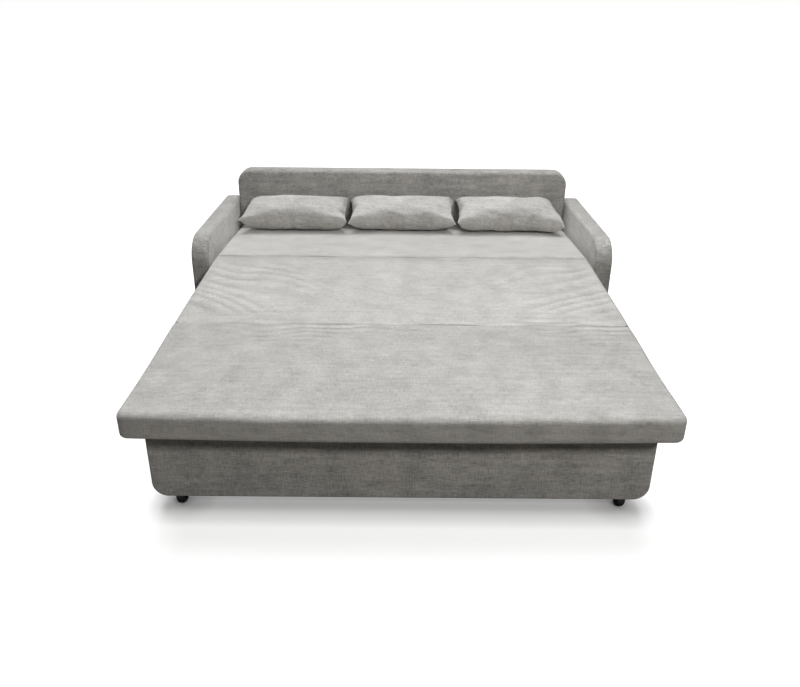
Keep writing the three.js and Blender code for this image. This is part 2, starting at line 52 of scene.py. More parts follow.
def rounded_side(width, depth, first, last, count):
    """One side of a rectangle with rounded corners, from the middle of one corner's arc to the
    middle of the next: an eighth of a circle, a straight line and an eighth of a circle. The count
    points lie closer together near the corners. The rectangle's low corner is at (0, 0)."""
    arc_a, arc_b = first * math.pi / 4, last * math.pi / 4
    line = width - first - last
    t = np.arange(count) / count
    s = (t - 0.6 * np.sin(2 * math.pi * t) / (2 * math.pi)) * (arc_a + line + arc_b)
    turn_a = np.radians(225) + s / first
    turn_b = np.radians(270) + (s - arc_a - line) / last
    x = np.where(s < arc_a, first + first * np.cos(turn_a), first + s - arc_a)
    y = np.where(s < arc_a, first + first * np.sin(turn_a), 0.0)
    end = s > arc_a + line
    x = np.where(end, width - last + last * np.cos(turn_b), x)
    y = np.where(end, last + last * np.sin(turn_b), y)
    return x, y


def rounded_ring(low, high, radii, across, along):
    """The rectangle from low to high as a closed ring of points: across points on the near and far
    sides, along points on the other two, each side turned a quarter from the one before."""
    (x0, y0), (x1, y1) = low, high
    w, d = x1 - x0, y1 - y0
    a, b, c, e = [max(r, 2e-4) for r in radii]
    near = rounded_side(w, d, a, b, across)
    right = rounded_side(d, w, b, c, along)
    far = rounded_side(w, d, c, e, across)
    left = rounded_side(d, w, e, a, along)
    x = np.concatenate([x0 + near[0], x1 - right[1], x1 - far[0], x0 + left[1]])
    y = np.concatenate([y0 + near[1], y0 + right[0], y1 - far[1], y1 - left[0]])
    return np.stack([x, y], 1)


def filled_face(ring, across, along):
    """A ring of points filled by a grid: each inner point is the blend of the two points facing it
    on each pair of sides, less the blend of the four corners."""
    loop = np.vstack([ring, ring[:1]])
    near = loop[: across + 1]
    right = loop[across : across + along + 1]
    far = loop[across + along : 2 * across + along + 1][::-1]
    left = loop[2 * across + along :][::-1]
    u = np.linspace(0, 1, across + 1)[None, :, None]
    v = np.linspace(0, 1, along + 1)[:, None, None]
    sides = (1 - v) * near[None] + v * far[None] + (1 - u) * left[:, None] + u * right[:, None]
    near_corners = (1 - u) * (1 - v) * near[0] + u * (1 - v) * near[-1]
    corners = near_corners + (1 - u) * v * far[0] + u * v * far[-1]
    return sides - corners


def ring_numbers(start, across, along):
    """The numbers that a ring's points have in the grid that fills it, and -1 inside it."""
    grid = np.full((along + 1, across + 1), -1)
    ids = start + np.arange(2 * (across + along))
    ids = np.append(ids, start)
    grid[0] = ids[: across + 1]
    grid[:, -1] = ids[across : across + along + 1]
    grid[-1] = ids[across + along : 2 * across + along + 1][::-1]
    grid[:, 0] = ids[2 * across + along :][::-1]
    return grid


def wrapped_panel(low, high, radii, profile, across, along):
    """A padded panel as a stack of rounded rings closed by two filled faces. The profile is one row
    for each ring, from the underside up: how far the ring is drawn in at its sides, near end and
    far end, and its height. It gives the points, the four-sided faces, and for each point its place
    on the face from -1 to 1 both ways and how far up the profile it is, from 0 to 1."""
    rings = []
    for side, near, far, _ in profile:
        inner = [max(r - side, 2e-4) for r in radii]
        a = (low[0] + side, low[1] + near)
        b = (high[0] - side, high[1] - far)
        rings.append(rounded_ring(a, b, inner, across, along))
    count = 2 * (across + along)
    heights = np.asarray(profile)[:, 3]
    levels = [np.full(count, h) for h in heights]
    walls = np.concatenate([np.column_stack(pair) for pair in zip(rings, levels)])
    k = np.arange(count)
    after = (k + 1) % count
    up = np.arange(len(profile) - 1)[:, None] * count
    quads = np.stack([up + k, up + after, up + count + after, up + count + k], -1).reshape(-1, 4)
    points, faces = [walls], [quads]
    rise = [np.repeat(np.linspace(0, 1, len(profile)), count)]
    total = len(walls)
    for which, flip in ((0, True), (len(profile) - 1, False)):
        grid = filled_face(rings[which], across, along)
        ids = ring_numbers(which * count, across, along)
        inside = ids < 0
        ids[inside] = total + np.arange(inside.sum())
        total += inside.sum()
        flat = grid[inside]
        points.append(np.column_stack([flat, np.full(len(flat), heights[which])]))
        rise.append(np.full(len(flat), float(which > 0)))
        face = np.stack([ids[:-1, :-1], ids[:-1, 1:], ids[1:, 1:], ids[1:, :-1]], -1).reshape(-1, 4)
        faces.append(face[:, ::-1] if flip else face)
    points = np.concatenate(points)
    middle = (np.array(low) + high) / 2
    place = (points[:, :2] - middle) / (np.array(high) - middle)
    return points, np.concatenate(faces), place, np.concatenate(rise)


def smooth(value, low, high):
    """0 below low and 1 above high, with an even S between them."""
    t = np.clip((value - low) / (high - low), 0, 1)
    return t * t * (3 - 2 * t)


def drift(x, y, seed, size):
    """A slow even unevenness from -1 to 1: the mean of six sine waves of about that size that run
    in fixed directions."""
    rng = np.random.default_rng(seed)
    total = np.zeros_like(x)
    for _ in range(6):
        way = rng.uniform(0, math.pi)
        length = size * rng.uniform(0.7, 1.5)
        phase = rng.uniform(0, 2 * math.pi)
        total += np.sin((x * math.cos(way) + y * math.sin(way)) * 2 * math.pi / length + phase)
    return total / 3.2


def soft_piece(name, points, faces, nap_and_painted_light=None):
    """A smooth-shaded mesh from arrays, with a map in metres along the weave: across and up on a
    face that looks forward, across and back on one that looks up, back and up on a side. The last
    argument lightens or darkens the colour at each point, partly as random pile tone and partly as
    painted light and shade."""
    mesh = bpy.data.meshes.new(name)
    mesh.from_pydata(points.tolist(), [], faces.tolist())
    mesh.update()
    mesh.shade_smooth()
    layer = mesh.attributes.new("nap_and_painted_light", "FLOAT", "POINT")
    layer.data.foreach_set("value", np.zeros(len(points)) if nap_and_painted_light is None else nap_and_painted_light)
    piece = bpy.data.objects.new(name, mesh)
    scene.collection.objects.link(piece)
    weave_map(mesh)
    return piece


def weave_map(mesh):
    """The map of soft_piece: each face takes the two axes that it looks along least."""
    corner = np.empty(len(mesh.loops), np.int32)
    mesh.loops.foreach_get("vertex_index", corner)
    place = np.empty(len(mesh.vertices) * 3, np.float32)
    mesh.vertices.foreach_get("co", place)
    normal = np.empty(len(mesh.polygons) * 3, np.float32)
    mesh.polygons.foreach_get("normal", normal)
    sizes = np.empty(len(mesh.polygons), np.int32)
    mesh.polygons.foreach_get("loop_total", sizes)
    place = place.reshape(-1, 3)[corner]
    facing = np.repeat(np.abs(normal.reshape(-1, 3)).argmax(1), sizes)
    u = np.where(facing == 0, place[:, 1], place[:, 0])
    v = np.where(facing == 2, place[:, 1], place[:, 2])
    layer = mesh.uv_layers.new(name="weave")
    layer.data.foreach_set("uv", np.column_stack([u, v]).astype(np.float32).ravel())


def link(tree, source, target):
    tree.links.new(source, target)


def chenille(name, dark, light, grain):
    """Brushed chenille. Thick soft yarns cross in a plain weave. Each yarn's colour wanders along
    its length in short slubs, and the pile lies in cloudy patches where hands have brushed it.
    Grain is how strongly they show. A point attribute lightens or darkens the colour, partly as
    random pile tone and partly as painted light and shade."""
    material = bpy.data.materials.new(name)
    material.use_nodes = True
    tree = material.node_tree
    new = tree.nodes.new
    shader = tree.nodes["Principled BSDF"]
    weave = new("ShaderNodeUVMap")
    weave.uv_map = "weave"

    def stretched(scale, detail, rough):
        turn = new("ShaderNodeMapping")
        turn.inputs["Scale"].default_value = (*scale, 1)
        link(tree, weave.outputs[0], turn.inputs[0])
        noise = new("ShaderNodeTexNoise")
        noise.noise_dimensions = "2D"
        noise.inputs["Scale"].default_value = 1
        noise.inputs["Detail"].default_value = detail
        noise.inputs["Roughness"].default_value = rough
        link(tree, turn.outputs[0], noise.inputs["Vector"])
        return noise.outputs["Fac"]

    def sum_of(kind, first, second):
        node = new("ShaderNodeMath")
        node.operation = kind
        for socket, value in zip(node.inputs, (first, second)):
            if isinstance(value, (int, float)):
                socket.default_value = value
            else:
                link(tree, value, socket)
        return node.outputs[0]

    def share(value, amount):
        return sum_of("MULTIPLY", sum_of("SUBTRACT", value, 0.5), amount)

    warp = stretched((330, 34), 4, 0.62)
    weft = stretched((38, 340), 4, 0.62)
    patches = stretched((13, 10), 4, 0.6)
    streaks = stretched((7, 62), 3, 0.55)
    clouds = stretched((2.3, 2.9), 2, 0.5)
    # This point attribute carries random pile tone together with painted light and shade; it is
    # added to the tone below.
    nap_and_painted_light = new("ShaderNodeAttribute")
    nap_and_painted_light.attribute_name = "nap_and_painted_light"
    yarns = sum_of("ADD", share(warp, 0.75 * grain), share(weft, 0.88 * grain))
    tone = sum_of("ADD", yarns, share(patches, 0.42 * grain))
    tone = sum_of("ADD", tone, share(streaks, 0.45 * grain))
    tone = sum_of("ADD", tone, share(clouds, 0.3))
    tone = sum_of("ADD", tone, sum_of("ADD", nap_and_painted_light.outputs["Fac"], 0.5))
    ramp = new("ShaderNodeValToRGB")
    stops = ramp.color_ramp.elements
    stops[0].position, stops[0].color = 0.0, (*dark, 1)
    stops[1].position, stops[1].color = 1.0, (*light, 1)
    link(tree, tone, ramp.inputs[0])
    tint = new("ShaderNodeMix")
    tint.data_type = "RGBA"
    tint.blend_type = "MULTIPLY"
    tint.inputs[7].default_value = (1.0, 0.985, 0.96, 1)
    link(tree, sum_of("MULTIPLY", clouds, 0.9), tint.inputs[0])
    link(tree, ramp.outputs[0], tint.inputs[6])
    link(tree, tint.outputs[2], shader.inputs["Base Color"])

    split = new("ShaderNodeSeparateXYZ")
    link(tree, weave.outputs[0], split.inputs[0])
    pitch = 2 * math.pi / 0.0042
    ridge_u = sum_of("SINE", sum_of("MULTIPLY", split.outputs[0], pitch), 0)
    ridge_v = sum_of("SINE", sum_of("MULTIPLY", split.outputs[1], pitch), 0)
    cross = sum_of("MULTIPLY", sum_of("MULTIPLY", ridge_u, ridge_v), 0.25)
    height = sum_of("ADD", cross, sum_of("ADD", warp, weft))
    bump = new("ShaderNodeBump")
    bump.inputs["Strength"].default_value = 0.7
    bump.inputs["Distance"].default_value = 0.0012
    link(tree, height, bump.inputs["Height"])
    soft = new("ShaderNodeBump")
    soft.inputs["Strength"].default_value = 0.25
    soft.inputs["Distance"].default_value = 0.004
    link(tree, patches, soft.inputs["Height"])
    link(tree, soft.outputs[0], bump.inputs["Normal"])
    link(tree, bump.outputs[0], shader.inputs["Normal"])
    shader.inputs["Roughness"].default_value = 0.95
    shader.inputs["Specular IOR Level"].default_value = 0.15
    shader.inputs["Sheen Weight"].default_value = 1.0
    shader.inputs["Sheen Roughness"].default_value = 0.32
    shader.inputs["Sheen Tint"].default_value = (1, 0.99, 0.97, 1)
    return material


cloth = chenille("chenille", (0.272, 0.266, 0.253), (0.645, 0.635, 0.617), 1.0)
panel_cloth = chenille("panel_chenille", (0.25, 0.244, 0.231), (0.635, 0.624, 0.604), 1.55)

seam_gap = 0.0004
point_spacing = 0.008
seat_low, seat_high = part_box("seat_cushion")
front_y = seat_low.y
fold_y = seat_high.y
seam_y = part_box("middle_cushion")[1].y + 0.0005
bed_half = seat_high.x
pad_top = 0.435
pad_bottom = 0.350
hump = math.radians(4)
pivot_y, pivot_z = -0.341, 0.430


def edge_profile(thickness, top, bottom, end_share):
    """How a pad's wall is drawn in from the underside up: a quarter round below, a straight wall,
    and above it a rounder quarter. At a seam the last quarter is end_share as deep and turns in
    only near its top, so that two pads meet in a narrow line."""
    low = np.linspace(0, math.pi / 2, 6)
    high = np.linspace(0, math.pi / 2, 12)
    rows = [(bottom * (1 - math.sin(a)), bottom * (1 - math.cos(a))) for a in low]
    middle = np.linspace(bottom, thickness - top, 9)[1:-1]
    rows += [(0.0, h) for h in middle]
    rows += [(top * (1 - math.cos(a)), thickness - top * (1 - math.sin(a))) for a in high]
    depth, height = np.array(rows).T
    turned = np.where(height > thickness / 2, depth * (depth / top) ** 1.4, 0)
    ends = [depth if share == 1 else turned * share for share in end_share]
    return np.stack([depth, *ends, height - thickness], 1)


def fan_wrinkles(x, y, side, strength):
    """Tension wrinkles that start at one end of the middle section and run inwards and forwards,
    steeply near the fold and almost level further back. A sharp trough follows each round crest."""
    inward = side * x
    reach = bed_half - inward
    back = y - fold_y
    slope = 0.34 + 0.4 * np.exp(-np.clip(back, 0, 1) / 0.3)
    bend = 0.06 * np.sin(reach * 7 + back * 5)
    line = back + slope * reach + 0.024 * drift(x, y, 3 + side, 0.35) + bend * reach
    wave = np.sin(line * 2 * math.pi / 0.062 + 1.3 * np.sin(line * 23))
    crest = (0.5 + 0.5 * wave) ** 1.8 - 0.4
    fade = np.exp(-((reach / 0.38) ** 2)) * smooth(reach, -0.01, 0.05)
    window = smooth(back, 0.03, 0.13) * (1 - smooth(back, 0.44, 0.6))
    return strength * crest * fade * window


def fold_creases(x, y, from_fold, seed, strength):
    """Short creases along a fold, where the cover is slack: ripples across the section that wander
    and die out within a hand's width."""
    wander = 0.02 * drift(x, y, seed, 0.3)
    wave = np.sin((from_fold + wander) * 2 * math.pi / 0.045)
    patch = smooth(drift(x * 0.6, y, seed + 5, 0.5), -0.1, 0.7)
    return strength * wave * patch * np.exp(-((from_fold / 0.11) ** 2))


def bed_pad(name, node, body, turn, about, low, high, radii, ends, bow, marks, section_painted_light, plumb=0.0):
    """One section's cover. It is shaped flat and then tilted about its fold axis as its node is.
    Marks gives its creases, and the slopes of the creases are painted lighter or darker as light
    would shade them. The seventh argument paints light over the whole section: in the calls below
    the sections are painted lighter towards the rear of the bed. Plumb leans the end at the raised
    seam against the tilt, so that it stands upright, and a band of painted shade runs along that
    seam. Its sides bulge a little at the fold and draw in at the raised seam."""
    profile = edge_profile(pad_top - pad_bottom, 0.020, 0.015, ends)
    points, faces, (u, v), rise = panel_parts(low, high, radii, profile)
    x, y, z = points.T
    inside = np.clip(1 - np.abs(u) ** 2.6, 0, 1) * np.clip(1 - np.abs(v) ** 2.6, 0, 1)
    z = z + (rise > 0.99) * 0.006 * inside ** 0.9
    upper = smooth(z, -0.03, -0.004)
    skin = upper * np.clip((1 - np.abs(u)) * 30, 0, 1) ** 0.5
    z = z + skin * marks(x, y) + upper * 0.0012 * drift(x, y, len(name), 0.42)
    # Painted shade: the crease slope lightens or darkens the cloth's colour, standing in for light
    # and shade on the wrinkles. The small drift in the same sum is random pile tone.
    slope = skin * (marks(x, y + 0.002) - marks(x, y - 0.002)) / 0.004
    nap_and_painted_light = section_painted_light + np.clip(1.2 * slope, -0.2, 0.2) + 0.05 * drift(x, y * 0.8, 8 + len(name), 0.11)
    if plumb:
        from_seam = high[1] - y if plumb > 0 else y - low[1]
        # Painted shade: the colour is darkened in a band beside the raised seam, where the crease
        # lies in shade.
        seam_painted_shade = np.exp(-((from_seam / 0.022) ** 2)) * (1 + 0.6 * drift(x, y * 0, 77, 0.3))
        nap_and_painted_light = nap_and_painted_light - 0.13 * skin * seam_painted_shade
    reach = np.clip((high[1] - y) / (high[1] - low[1]), 0, 1)
    y = y - bow * (1 - (x / bed_half) ** 2) * reach ** 4
    seam_share = smooth(1 - reach if plumb > 0 else reach, 0.5, 1.0)
    y = y + plumb * (z + pad_top - pivot_z) * seam_share
    upright = np.sin(np.clip(-z / (pad_top - pad_bottom), 0, 1) * math.pi)
    face = smooth(np.abs(v), 0.97, 1.0) * upright
    y = y + face * 0.0015 * drift(x, z, 31, 0.3) * np.sign(v)
    side = smooth(np.abs(u), 0.985, 1.0) * upright
    x = x + side * 0.0015 * drift(y, z, 32, 0.3) * np.sign(u)
    wider = 0.012 * np.exp(-(((y - fold_y) / 0.25) ** 2))
    narrower = 0.009 * np.exp(-(((y - seam_y) / 0.2) ** 2))
    x = x * (1 + wider - narrower)
    points = np.stack([x, y, z], 1)
    pad = soft_piece(name, points, faces, nap_and_painted_light)
    shape = Matrix.Translation(about) @ Matrix.Rotation(turn, 4, "X") @ Matrix.Translation(-about)
    pad.data.transform(shape @ Matrix.Translation((0, 0, pad_top)))
    pad.data.materials.append(cloth)
    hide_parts(node)
    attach(pad, body)
    return pad


def panel_parts(low, high, radii, profile):
    """A bed section as a wrapped panel, its points about point_spacing apart."""
    across = int((high[0] - low[0]) / point_spacing)
    along = int((high[1] - low[1]) / point_spacing)
    points, faces, place, rise = wrapped_panel(low, high, radii, profile, across, along)
    return points, faces, place.T, rise


back_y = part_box("back_cover")[0].y
rear_pivot_y = back_y - 0.018
middle_length = (seam_y - pivot_y) / math.cos(hump)
rear_length = (rear_pivot_y - seam_y) / math.cos(hump)


def seat_marks(x, y):
    """How far the front section's cover stands up: creases at the fold and slight unevenness."""
    return fold_creases(x, y, fold_y - y, 11, 0.0011) + 0.0006 * drift(x, y * 0.7, 14, 0.16)


def middle_marks(x, y):
    """The same for the middle section: a fan of wrinkles from each end, creases at the fold, and a
    hollow along the raised seam, where the cover is pulled down."""
    seam = pivot_y + middle_length
    return (
        fan_wrinkles(x, y, -1, 0.0046)
        + fan_wrinkles(x, y, 1, 0.0027)
        + fold_creases(x, y, y - fold_y, 17, 0.0012)
        + 0.0006 * drift(x, y, 21, 0.2)
        - 0.005 * smooth(y, seam - 0.07, seam)
    )


def rear_marks(x, y):
    """The same for the rear section, which is only a little uneven."""
    return 0.0011 * drift(x * 0.6, y, 27, 0.12)


# Painted light: each section's seventh argument lifts its colour, the front section a little
# darker, the middle lighter and the rear lightest, standing in for the brighter light towards the
# rear.
bed_pad(
    "seat_pad", "seat_cushion", "seat_section", 0.0, Vector((0, pivot_y, pivot_z)),
    (-bed_half, front_y + 0.014), (bed_half, pivot_y - seam_gap), (0.028, 0.028, 0.012, 0.012),
    (1, 0.07), 0.014, seat_marks, -0.03,
)
bed_pad(
    "middle_pad", "middle_cushion", "middle_section", hump, Vector((0, pivot_y, pivot_z)),
    (-bed_half, pivot_y + seam_gap), (bed_half, pivot_y + middle_length - seam_gap),
    (0.012,) * 4, (0.07, 0.45), 0.0, middle_marks, 0.11, math.tan(hump),
)
bed_pad(
    "rear_pad", "rear_cushion", "rear_section", -hump, Vector((0, rear_pivot_y, pivot_z)),
    (-bed_half, rear_pivot_y - rear_length + seam_gap), (bed_half, rear_pivot_y - 0.017),
    (0.012,) * 4, (0.5, 0.6), 0.0, rear_marks, 0.22, -math.tan(hump),
)

# A strip of the same cloth is sewn to the rear section's end. It lies over the hinge rod and closes
# the gap to the back panel, between the two brackets.

flap_half = 0.714
flap_front, flap_back = 0.84, back_y - 0.008
profile = np.array([(0.001, 0.001, 0.001, 0), (0, 0, 0, 0.001), (0.001, 0.001, 0.001, 0.0022)])
points, faces, _, _ = wrapped_panel(
    (-flap_half, flap_front), (flap_half, flap_back), (0.006,) * 4, profile, 150, 8
)
x, y, z = points.T
pad_end = pivot_z + 0.0062 + np.clip(rear_pivot_y - y, 0, 1) * math.tan(hump)
points = np.stack([x, y, z + np.maximum(pad_end, 0.4395) + 0.0007 * drift(x, y, 81, 0.2)], 1)
flap = soft_piece("rear_flap", points, faces)
flap.data.materials.append(cloth)
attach(flap, "rear_section")

# The arms. Each is a wooden board in a thick wadded cover of the same chenille, wrapped from the
# inner side over a soft rim and closed round the outside. The front corner has a big radius.


def stood_panel(name, node, low, high, radii, thick, turn, across, along, soft, crown, seed):
    """An upright wrapped panel: shaped flat with its face up, and then turned to stand. The faces
    swell a little between the rims, and the wadding under the cover is slightly uneven."""
    half = thick / 2
    arc = np.linspace(0, math.pi / 2, 12)
    lower = [(soft * (1 - math.sin(a)), soft * (1 - math.cos(a)) - half) for a in arc]
    straight = np.linspace(soft - half, half - soft, 6)[1:-1] if thick > 2.2 * soft else []
    wall = [(0.0, h) for h in straight]
    upper = [(soft * (1 - math.cos(a)), half - soft * (1 - math.sin(a))) for a in arc]
    profile = np.array([(i, i, i, h) for i, h in lower + wall + upper])
    points, faces, place, _ = wrapped_panel(low, high, radii, profile, across, along)
    u, v = place.T
    x, y, z = points.T
    inside = np.clip(1 - u ** 4, 0, 1) * np.clip(1 - v ** 4, 0, 1)
    side = np.sign(z) * smooth(np.abs(z), half - soft, half)
    z = z + side * inside * (crown + 0.0014 * drift(x, y, seed, 0.3))
    panel = soft_piece(name, np.stack([x, y, z], 1), faces)
    panel.data.transform(turn)
    panel.data.uv_layers.remove(panel.data.uv_layers["weave"])
    weave_map(panel.data)
    panel.data.materials.append(panel_cloth)
    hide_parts(node)
    return panel


for side, sign in (("left", -1), ("right", 1)):
    low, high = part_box(f"arm_cover_{side}")
    middle = (low.x + high.x) / 2
    stand = Matrix(((0, 0, 1, middle), (1, 0, 0, 0), (0, 1, 0, 0), (0, 0, 0, 1)))
    arm = stood_panel(
        f"arm_{side}", f"arm_cover_{side}", (low.y, low.z), (high.y, high.z),
        (0.02, 0.02, 0.03, 0.106), high.x - low.x - 0.006, stand, 100, 64, 0.014, 0.003, 41 + sign,
    )
    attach(arm, "sofa_frame")

# The back panel. It is a board as wide as the gap between the arms, wadded and wrapped as they are,
# with both upper corners rounded. The cover is drawn tight over the rim, so its face stays flat.

low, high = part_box("back_cover")
middle = (low.y + high.y) / 2
stand = Matrix(((1, 0, 0, 0), (0, 0, -1, middle), (0, 1, 0, 0), (0, 0, 0, 1)))
back = stood_panel(
    "back", "back_cover", (low.x, low.z), (high.x, high.z), (0.02, 0.02, 0.068, 0.068),
    high.y - low.y - 0.004, stand, 190, 76, 0.019, 0.002, 47,
)
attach(back, "sofa_frame")

# The fascia. A board across the front of the plinth in a thin wadded cover, its lower corners
# rounded. It stands back under the front section, in its shade.

low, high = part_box("fascia_cover")
middle = (low.y + high.y) / 2
stand = Matrix(((1, 0, 0, 0), (0, 0, -1, middle), (0, 1, 0, 0), (0, 0, 0, 1)))
fascia = stood_panel(
    "fascia", "fascia_cover", (low.x, low.z), (high.x, high.z), (0.05, 0.05, 0.006, 0.006),
    high.y - low.y - 0.002, stand, 170, 30, 0.009, 0.001, 53,
)
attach(fascia, "seat_section")

# The three loose back cushions. Each is a knife-edged bag of the same chenille stuffed with fibre:
# two panels sewn round the rim, with pinched ears at the corners and a full round body between
# them.
# Their copy of the cloth is painted lighter than the bed's, as painted light.

# Painted light: the cushions' chenille has lighter colours than the bed's, standing in for the
# brighter light on them.
loose_cloth = chenille("loose_cloth", (0.33, 0.323, 0.31), (0.77, 0.76, 0.742), 1.2)


def flat_bag(width, depth, across, along, plump):
    """Two sheets sewn round their rim and a little apart in the middle, as points and faces. The
    gap between them is a cosine hill both ways."""
    u, v = np.meshgrid(np.linspace(-1, 1, across + 1), np.linspace(-1, 1, along + 1))
    rim = (np.abs(u) == 1) | (np.abs(v) == 1)
    hill = np.sqrt(np.clip(np.cos(u * math.pi / 2) * np.cos(v * math.pi / 2), 0, 1))
    hill = plump * np.where(rim, 0, hill)
    top = np.stack([u * width / 2, v * depth / 2, hill], -1)
    top_ids = np.arange(u.size).reshape(u.shape)
    low_ids = top_ids.copy()
    low_ids[~rim] = u.size + np.arange((~rim).sum())
    low = top[~rim] * (1, 1, -1)

    def quads(ids):
        return np.stack([ids[:-1, :-1], ids[:-1, 1:], ids[1:, 1:], ids[1:, :-1]], -1).reshape(-1, 4)

    points = np.concatenate([top.reshape(-1, 3), low])
    faces = np.concatenate([quads(top_ids), quads(low_ids)[:, ::-1]])
    return points, faces


def blown_up(piece, frames, pressure, mass, stretch, bending):
    """The piece after its cloth has been pressed outwards from inside for some frames."""
    cloth_step = piece.modifiers.new("filling", "CLOTH")
    rules = cloth_step.settings
    rules.quality = 6
    rules.mass = mass
    rules.tension_stiffness = stretch
    rules.compression_stiffness = stretch
    rules.shear_stiffness = stretch / 2
    rules.bending_stiffness = bending
    rules.tension_damping = 10
    rules.compression_damping = 10
    rules.air_damping = 6
    rules.use_pressure = True
    rules.uniform_pressure_force = pressure
    rules.effector_weights.gravity = 0
    cloth_step.point_cache.frame_start = 1
    cloth_step.point_cache.frame_end = frames
    for step in range(1, frames + 1):
        scene.frame_set(step)
    seen = piece.evaluated_get(bpy.context.evaluated_depsgraph_get())
    place = np.empty(len(piece.data.vertices) * 3, np.float32)
    seen.data.vertices.foreach_get("co", place)
    piece.modifiers.remove(cloth_step)
    scene.frame_set(1)
    return place.reshape(-1, 3).astype(float)


def evened(points, columns, passes):
    """The upper sheet's points, each drawn towards the mean of its four neighbours: fully in the
    middle, and not at all near the seams, which keep their puckers."""
    grid = points[: columns * (len(points) // columns)].reshape(-1, columns, 3)
    v, u = np.meshgrid(*(np.linspace(-1, 1, n) for n in grid.shape[:2]), indexing="ij")
    share = (np.clip((1 - np.abs(u)) / 0.2, 0, 1) * np.clip((1 - np.abs(v)) / 0.3, 0, 1))[..., None]
    for _ in range(passes):
        mean = (grid[:-2, 1:-1] + grid[2:, 1:-1] + grid[1:-1, :-2] + grid[1:-1, 2:]) / 4
        grid[1:-1, 1:-1] += share[1:-1, 1:-1] * (mean - grid[1:-1, 1:-1])
    return grid.reshape(-1, 3)


bag_width, bag_depth = 0.57, 0.3
half_width, half_depth, half_height = 0.262, 0.113, 0.073


def loose_cushion(side, outer, seed):
    """One filled bag, scaled to its stuffed size, leant back, and pressed flat where it touches.
    The outer two, whose outer is -1 or 1, are pulled in at the corner between arm and back."""
    low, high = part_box(f"back_cushion_{side}")
    columns, rows = 97, 53
    points, faces = flat_bag(bag_width, bag_depth, columns - 1, rows - 1, 0.03)
    x, y, _ = points.T
    inwards = np.minimum(1 - 2 * np.abs(x) / bag_width, 1 - 2 * np.abs(y) / bag_depth)
    points[:, 2] *= 1 + 0.25 * drift(x, y, seed, 0.12)
    bag = soft_piece(f"loose_{side}", points, faces)
    points = blown_up(bag, 22, 8, 0.2, 25, 0.6)
    points[: columns * rows] = evened(points[: columns * rows].copy(), columns, 6)
    span = points.max(0) - points.min(0)
    centre = (points.max(0) + points.min(0)) / 2
    points = (points - centre) * (2 * half_width, 2 * half_depth, 2 * half_height) / span
    x, y, z = points.T
    z = z * (np.abs(z) / half_height + 1e-4) ** (-0.3 * smooth(inwards, 0.0, 0.12))
    tuck = smooth(outer * x, 0.17, half_width) * smooth(y, 0.05, half_depth)
    drawn = smooth(outer * x, -0.05, half_width) * smooth(y, -0.08, half_depth)
    x = x - outer * (0.035 * drawn + 0.03 * tuck)
    z = z + 0.004 * drift(x, y, seed + 1, 0.16) * np.sign(z) - 0.008 * tuck
    crossing = 0.006 * (1 if outer else -1) * smooth(np.abs(x), 0.225, half_width)
    front = np.exp(-(((y + half_depth) / 0.035) ** 2)) * smooth(np.abs(x), 0.1, half_width)
    raised = np.where(outer * x > 0, 0.012 - 0.012 * outer, 0.019)
    crossing = crossing + raised * front
    lean = math.radians(22)
    y, z = y * math.cos(lean) - z * math.sin(lean), y * math.sin(lean) + z * math.cos(lean)
    x = x + (low.x + high.x) / 2 + outer * 0.005
    y = y + high.y - y.max() + 0.002
    z = z + high.z - z.max() + 0.014 + crossing
    rest = pivot_z + 0.0135 + (rear_pivot_y - y) * math.tan(hump)
    press = rest + 0.012 - z
    z = np.where(press > 0, rest + 0.012 * np.exp(-np.clip(press, 0, 1) / 0.012), z)
    y = np.minimum(y, back_y - 0.0012)
    bag.data.vertices.foreach_set("co", np.stack([x, y, z], 1).astype(np.float32).ravel())
    bag.data.update()
    bag.data.materials.append(loose_cloth)
    finer = bag.modifiers.new("finer", "SUBSURF")
    finer.levels = finer.render_levels = 1
    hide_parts(f"back_cushion_{side}")
    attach(bag, f"loose_cushion_{side}")
    return bag


for side, outer, seed in (("left", -1, 61), ("middle", 0, 67), ("right", 1, 71)):
    loose_cushion(side, outer, seed)

# The folding frame under the bed: square tube, plates, forks and support legs, all cut from mild
# steel and powder coated black. The coat has a fine orange peel and a little dust on it.


def powder_coat():
    """Black powder coat: a fine pebbled surface with faint clouds of dust."""
    material = bpy.data.materials.new("powder_coat")
    material.use_nodes = True
    tree = material.node_tree
    shader = tree.nodes["Principled BSDF"]
    place = tree.nodes.new("ShaderNodeTexCoord")
    peel = tree.nodes.new("ShaderNodeTexNoise")
    peel.inputs["Scale"].default_value = 900
    peel.inputs["Detail"].default_value = 2
    link(tree, place.outputs["Object"], peel.inputs["Vector"])
    dust = tree.nodes.new("ShaderNodeTexNoise")
    dust.inputs["Scale"].default_value = 14
    dust.inputs["Detail"].default_value = 5
    link(tree, place.outputs["Object"], dust.inputs["Vector"])
    ramp = tree.nodes.new("ShaderNodeValToRGB")
    ramp.color_ramp.elements[0].position = 0.35
    ramp.color_ramp.elements[0].color = (0.018, 0.018, 0.02, 1)
    ramp.color_ramp.elements[1].position = 0.75
    ramp.color_ramp.elements[1].color = (0.05, 0.05, 0.052, 1)
    link(tree, dust.outputs["Fac"], ramp.inputs[0])
    link(tree, ramp.outputs[0], shader.inputs["Base Color"])
    bump = tree.nodes.new("ShaderNodeBump")
    bump.inputs["Strength"].default_value = 0.25
    bump.inputs["Distance"].default_value = 0.0004
    link(tree, peel.outputs["Fac"], bump.inputs["Height"])
    link(tree, bump.outputs[0], shader.inputs["Normal"])
    shader.inputs["Roughness"].default_value = 0.48
    shader.inputs["Specular IOR Level"].default_value = 0.5
    return material


def finish_nodes(material, *starts):
    """Gives a material to every shown node whose name starts with one of the words."""
    for node_name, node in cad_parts.items():
        if node_name.startswith(starts) and not node.hide_render:
            node.data.materials.clear()
            node.data.materials.append(material)


